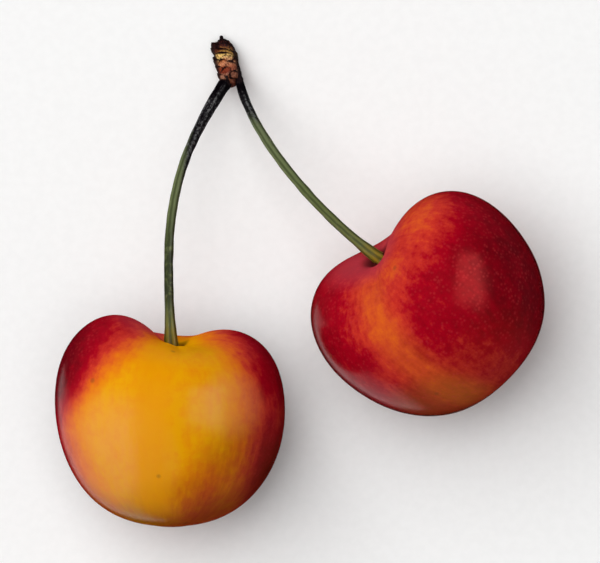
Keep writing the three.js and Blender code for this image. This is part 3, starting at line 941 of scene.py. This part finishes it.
# Black wood, and the grey flecks on it.
FLECK_RAMP = (
    (0.42, 0.002, 0.001, 0.002),
    (0.51, 0.016, 0.014, 0.016),
    (0.59, 0.11, 0.11, 0.11),
)
# Each stalk. shadow darkens blotches of the lower half. The black begins and is full at those shares
# of the length, and slant brings it lower down the right side.
LEFT_GREEN = dict(name="stalk_left_green", shadow=0.9, dark_from=0.58, dark_full=0.71, slant=0.16)
RIGHT_GREEN = dict(name="stalk_right_green", shadow=0.1, dark_from=0.76, dark_full=0.85, slant=0.03)


def stalk_green(graph, grain, share, crest, fibres, blotches, shadow):
    """Olive green with painted shade in the grooves, pale fibres and small pale spots."""
    green = graph.ramp(graph.add(share, graph.sway(blotches, 0.16)), STALK_RAMP)
    low_half = graph.times(graph.fade(share, 0.1, 0.2), graph.fade(share, 0.3, 0.5, shadow, 0.0))
    green = graph.mix(graph.times(low_half, graph.fade(blotches, 0.33, 0.5)), green, STALK_SHADOW)
    # Painted shade in the grooves between the ridges
    groove_shade = graph.fade(graph.add(crest, graph.sway(fibres, 1.6)), -1.0, 0.2, 0.7, 0.0)
    green = graph.mix(groove_shade, green, STALK_GROOVE_SHADE)
    green = graph.mix(graph.fade(fibres, 0.56, 0.8, 0.0, 0.55), green, STALK_FIBRE)
    spots = graph.fade(graph.cells(graph.stretch(grain, (1, 1, 0.5)), 1.6), 0.10, 0.2, 0.45, 0.0)
    return graph.mix(spots, green, STALK_SPOT)


def stalk_wood(graph, grain, share, crest, fibres):
    """Black wood with grey flecks, fewer of them right at the knot, and a little lighter on the crests of
    the ridges, a painted highlight.
    """
    flecks = graph.times(graph.add(graph.noise(grain, 3.2, 3.0, 0.6), fibres), 0.5)
    # Painted highlight: the crests of the ridges are a little lighter
    flecks = graph.add(flecks, graph.times(crest, 0.05))
    return graph.ramp(graph.add(flecks, graph.fade(share, 0.9, 1.0, 0.0, -0.12)), FLECK_RAMP)


def stalk_material(name, shadow, dark_from, dark_full, slant):
    """Green stalk that turns black and woody towards the knot."""
    graph = Graph(name)
    grain = graph.attribute("grain")
    share = graph.attribute("share", "Fac")
    crest = graph.attribute("crest", "Fac")
    fibres = graph.noise(graph.stretch(grain, (3.2, 3.2, 0.32)), 2.2, 6.0, 0.65)
    blotches = graph.noise(grain, 1.1, 4.0, 0.6)
    green = stalk_green(graph, grain, share, crest, fibres, blotches, shadow)
    wood = stalk_wood(graph, grain, share, crest, fibres)
    rightward = graph.node("SeparateXYZ", {"Vector": grain}).outputs["X"]
    edge = graph.add(share, graph.sway(fibres, 0.25))
    edge = graph.add(edge, graph.times(rightward, slant))
    woody = graph.fade(edge, dark_from, dark_full)
    height = graph.add(fibres, graph.times(blotches, 0.4))
    return graph.surface({
        "Base Color": graph.mix(woody, green, wood),
        "Roughness": graph.fade(fibres, 0.3, 0.7, 0.5, 0.36),
        "Normal": graph.bump(height, 0.6, 0.0001),
        "Specular IOR Level": graph.fade(woody, 0.0, 1.0, 0.14, 0.05),
    })


# Bark, from its low fibres to its high ones.
BARK_RAMP = (
    (0.3, 0.003, 0.001, 0.002),
    (0.55, 0.012, 0.005, 0.006),
    (0.75, 0.07, 0.04, 0.045),
)


def bark_material(name):
    """Nearly black bark with a grey bloom on its high fibres."""
    graph = Graph(name)
    grain = graph.attribute("grain")
    fibres = graph.noise(graph.stretch(grain, (3.0, 3.0, 0.6)), 2.4, 6.0, 0.7)
    return graph.surface({
        "Base Color": graph.ramp(fibres, BARK_RAMP),
        "Roughness": graph.fade(fibres, 0.3, 0.7, 0.7, 0.45),
        "Normal": graph.bump(fibres, 0.7, 0.00015),
        "Specular IOR Level": 0.05,
    })


# Colours of the knot by height, as shares of SCALE_RAMP_HEIGHT: brown and pink near the fork, gold
# further on and nearly black at the tip.
SCALE_RAMP_HEIGHT = 6.0
SCALE_RAMP = (
    (0.05, 0.006, 0.003, 0.003),
    (0.09, 0.22, 0.10, 0.05),
    (0.17, 0.55, 0.25, 0.15),
    (0.23, 0.20, 0.025, 0.010),
    (0.33, 0.30, 0.05, 0.015),
    (0.42, 0.66, 0.27, 0.13),
    (0.49, 0.40, 0.10, 0.02),
    (0.54, 1.0, 0.66, 0.17),
    (0.66, 0.80, 0.50, 0.08),
    (0.72, 0.34, 0.13, 0.03),
    (0.78, 0.018, 0.007, 0.010),
    (1.0, 0.006, 0.002, 0.005),
)
SCALE_PALE = rgb(0.72, 0.42, 0.24)
SCALE_DULL = rgb(0.14, 0.03, 0.012)
SCALE_GROOVE = rgb(0.08, 0.014, 0.006)
SCALE_RIM = rgb(0.010, 0.002, 0.002)
# Painted shade on the flanks of the knot, where it turns away from the light
SCALE_FLANK_SHADE = rgb(0.02, 0.006, 0.006)


def scale_material(name):
    """Dry bud scales in several tones, with dark rims, fine fibres and painted shade on the flanks of the
    knot.
    """
    graph = Graph(name)
    place = graph.attribute("knot")
    tone = graph.attribute("tone", "Fac")
    edge = graph.attribute("edge", "Fac")
    axes = graph.node("SeparateXYZ", {"Vector": place})
    height, across = axes.outputs["Z"], axes.outputs["X"]
    fibres = graph.noise(graph.stretch(place, (3.0, 3.0, 1.2)), 2.2, 6.0, 0.65)
    blotches = graph.noise(place, 1.5, 3.0, 0.5)
    level = graph.add(height, graph.sway(blotches, 1.0))
    colour = graph.ramp(graph.math("DIVIDE", level, SCALE_RAMP_HEIGHT), SCALE_RAMP)
    below_cap = graph.fade(level, 4.1, 4.6, 1.0, 0.0)
    pale = graph.times(graph.fade(tone, 0.6, 0.9, 0.0, 0.45), below_cap)
    colour = graph.mix(pale, colour, SCALE_PALE)
    colour = graph.mix(graph.fade(tone, 0.15, 0.5, 0.75, 0.0), colour, SCALE_DULL)
    colour = graph.mix(graph.fade(fibres, 0.38, 0.56, 0.85, 0.0), colour, SCALE_GROOVE)
    colour = graph.mix(graph.fade(edge, 0.2, 0.52, 1.0, 0.0), colour, SCALE_RIM)
    # Painted shade on the knot's flanks
    flank_shade = graph.fade(graph.math("ABSOLUTE", across), 0.8, 1.2, 0.0, 0.95)
    return graph.surface({
        "Base Color": graph.mix(flank_shade, colour, SCALE_FLANK_SHADE),
        "Roughness": graph.fade(fibres, 0.3, 0.7, 0.65, 0.42),
        "Normal": graph.bump(fibres, 0.8, 0.00012),
        "Specular IOR Level": 0.07,
    })


def floor_material(name):
    """Smooth pale paper with a barely visible tooth."""
    graph = Graph(name)
    place = graph.node("TexCoord").outputs["Object"]
    tooth = graph.noise(place, 900.0, 3.0, 0.6)
    return graph.surface({
        "Base Color": graph.mix(graph.fade(tooth, 0.3, 0.7), rgb(0.92, 0.92, 0.915), rgb(0.94, 0.94, 0.935)),
        "Roughness": graph.fade(tooth, 0.3, 0.7, 0.8, 0.9),
        "Specular IOR Level": 0.0,
    })


def make_floor():
    """A wide pale table top, which the fruits' gloss doesn't mirror."""
    half = FLOOR_HALF_MM * MM
    corners = [(x * half, y * half, 0) for x, y in ((-1, -1), (1, -1), (1, 1), (-1, 1))]
    mesh = bpy.data.meshes.new("floor")
    mesh.from_pydata(corners, [], [(0, 1, 2, 3)])
    mesh.materials.append(floor_material("pale_paper"))
    floor = bpy.data.objects.new("floor", mesh)
    floor.visible_glossy = False
    bpy.context.collection.objects.link(floor)


def make_camera():
    """Left unturned, it looks straight down on the middle of the pair, with +Y up in the picture."""
    lo, hi = cad_box
    data = bpy.data.cameras.new("camera")
    data.lens = LENS_MM
    data.sensor_width = SENSOR_MM
    data.clip_end = FAR_CLIP
    data.dof.use_dof = False
    camera = bpy.data.objects.new("camera", data)
    distance = FRAME_WIDTH_MM * MM * LENS_MM / SENSOR_MM
    middle = (lo + hi) / 2
    camera.location = (middle.x, middle.y, FOCUS_HEIGHT_MM * MM + distance)
    bpy.context.collection.objects.link(camera)
    bpy.context.scene.camera = camera


# Soft rectangular lamps: a broad key from the far left and one overhead, which light the pair but
# don't show in its gloss, and a softbox at the right and a low card at the near left, which only
# the gloss shows. Distances and sizes are in metres, angles in degrees.
LAMPS = (
    dict(name="key", tilt=34, azimuth=148, distance=3.6, width=4.2, height=4.2, radiance=2.15, glossy=False),
    dict(name="overhead", tilt=4, azimuth=200, distance=3.6, width=3, height=3, radiance=1.55, glossy=False),
    dict(
        name="softbox_right", tilt=37.5, azimuth=14, spin=-18, distance=0.6, width=0.34, height=0.47,
        radiance=11.5, diffuse=False,
    ),
    dict(
        name="card_left", tilt=127, azimuth=216, distance=1, width=0.8, height=1.4,
        radiance=1, diffuse=False,
    ),
)
ROOM_LIGHT = 0.2


def make_lamp(name, tilt, azimuth, distance, width, height, radiance, spin=0, diffuse=True, glossy=True):
    """A lamp tilt degrees from straight up, which faces the fruits. Unspun, its width runs away from
    straight up and its height round it. radiance is how bright its face looks."""
    data = bpy.data.lights.new(name, "AREA")
    data.shape = "RECTANGLE"
    data.size, data.size_y = width, height
    data.energy = radiance * math.pi * width * height
    lamp = bpy.data.objects.new(name, data)
    lamp.visible_diffuse = diffuse
    lamp.visible_glossy = glossy
    lamp.visible_camera = False
    turned = Matrix.Rotation(math.radians(azimuth), 3, "Z") @ Matrix.Rotation(math.radians(tilt), 3, "Y")
    turned = turned @ Matrix.Rotation(math.radians(spin), 3, "Z")
    lamp.rotation_euler = turned.to_euler()
    lamp.location = turned.col[2] * distance + Vector((0, 0, FOCUS_HEIGHT_MM * MM))
    bpy.context.collection.objects.link(lamp)


def make_lights():
    """The lamps, and a dim pale room that the gloss doesn't show."""
    for lamp in LAMPS:
        make_lamp(**lamp)
    world = bpy.data.worlds.new("studio")
    bpy.context.scene.world = world
    world.use_nodes = True
    background = world.node_tree.nodes["Background"]
    background.inputs["Color"].default_value = rgb(1.0, 1.0, 1.0)
    background.inputs["Strength"].default_value = ROOM_LIGHT
    world.cycles_visibility.glossy = False


# The two cherries, with the record's slot of each skin and the seeds of their unevenness.
CHERRIES = (
    dict(
        side="left", slot="skin_yellow", fruit=LEFT_FRUIT, skin_look=LEFT_SKIN, fruit_seed=11,
        stalk=LEFT_STALK, stalk_look=LEFT_GREEN, stalk_seed=5,
    ),
    dict(
        side="right", slot="skin_red", fruit=RIGHT_FRUIT, skin_look=RIGHT_SKIN, fruit_seed=23,
        stalk=RIGHT_STALK, stalk_look=RIGHT_GREEN, stalk_seed=6,
    ),
)


def make_cherry(side, slot, fruit, skin_look, fruit_seed, stalk, stalk_look, stalk_seed):
    """A fruit and its stalk, each with its slot and the solid that it stands for."""
    axes, middle = fruit_place(fruit)
    up = tuple(np.array(skin_look["up"]) @ axes)
    skin = skin_material(skin_look, up, fruit["seam_line"])
    green = stalk_material(**stalk_look)
    fruit_piece = make_fruit(f"cherry_{side}_skin", fruit, axes, middle, fruit_seed, skin)
    stalk_piece = make_stalk(f"stalk_{side}_fine", stalk, fruit, axes, middle, stalk_seed, green)
    return [(fruit_piece, slot, f"cherry_{side}"), (stalk_piece, "stalk", f"stalk_{side}")]


def make_knot():
    """The knot's core, which stands for its solid, and what covers the core."""
    bark = bark_material("bark")
    scales = scale_material("bud_scales")
    return [
        (make_core("knot_core", scales), "bud_bark", "bud_knot"),
        (make_scales("knot_scales", scales), "bud_bark", None),
        (make_strip("knot_bark_strip", bark), "bud_bark", None),
        (make_foot("knot_foot", bark), "bud_bark", None),
        (make_thorn("knot_thorn", bark), "bud_bark", None),
    ]


def dress():
    """Makes every fine piece, hangs each one under the root body and hides the solid that it stands for."""
    pieces = []
    for cherry in CHERRIES:
        pieces += make_cherry(**cherry)
    pieces += make_knot()
    for piece, slot, node in pieces:
        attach(piece, "root")
        if node:
            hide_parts(node)


make_camera()
dress()
make_floor()
make_lights()
bpy.context.scene.view_settings.view_transform = "Standard"
